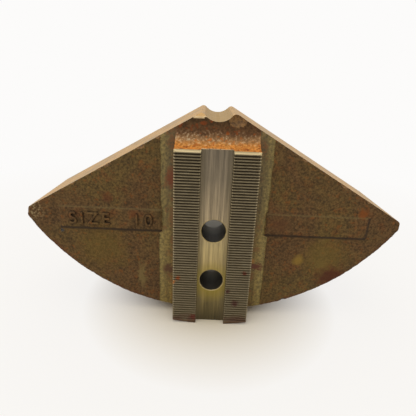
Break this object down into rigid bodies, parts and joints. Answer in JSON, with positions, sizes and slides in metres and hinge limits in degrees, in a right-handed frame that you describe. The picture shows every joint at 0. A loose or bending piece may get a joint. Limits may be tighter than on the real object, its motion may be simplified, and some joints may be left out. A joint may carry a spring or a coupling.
{
  "type": "lathe chuck jaw",
  "caption": "Full-grip sector jaw for a three-jaw lathe chuck: thick iron plate with a serrated, grooved mounting rail on its back and counterbored screw holes.",
  "frame": {"origin": "on the standing surface, under the middle of the foot, midway through the jaw's depth", "axes": "+X across the jaw, +Z from the rim towards the chuck's axis, +Y out of the front gripping face, serrations facing -Y"},
  "size_m": [0.2034, 0.0636, 0.1169],
  "materials": {
    "cast_iron": "brown sand-cast skin with rust, milled steel-grey rail and sawn flanks"
  },
  "bodies": {
    "root": {"jaw_casting": "cast_iron"}
  },
  "joints": []
}
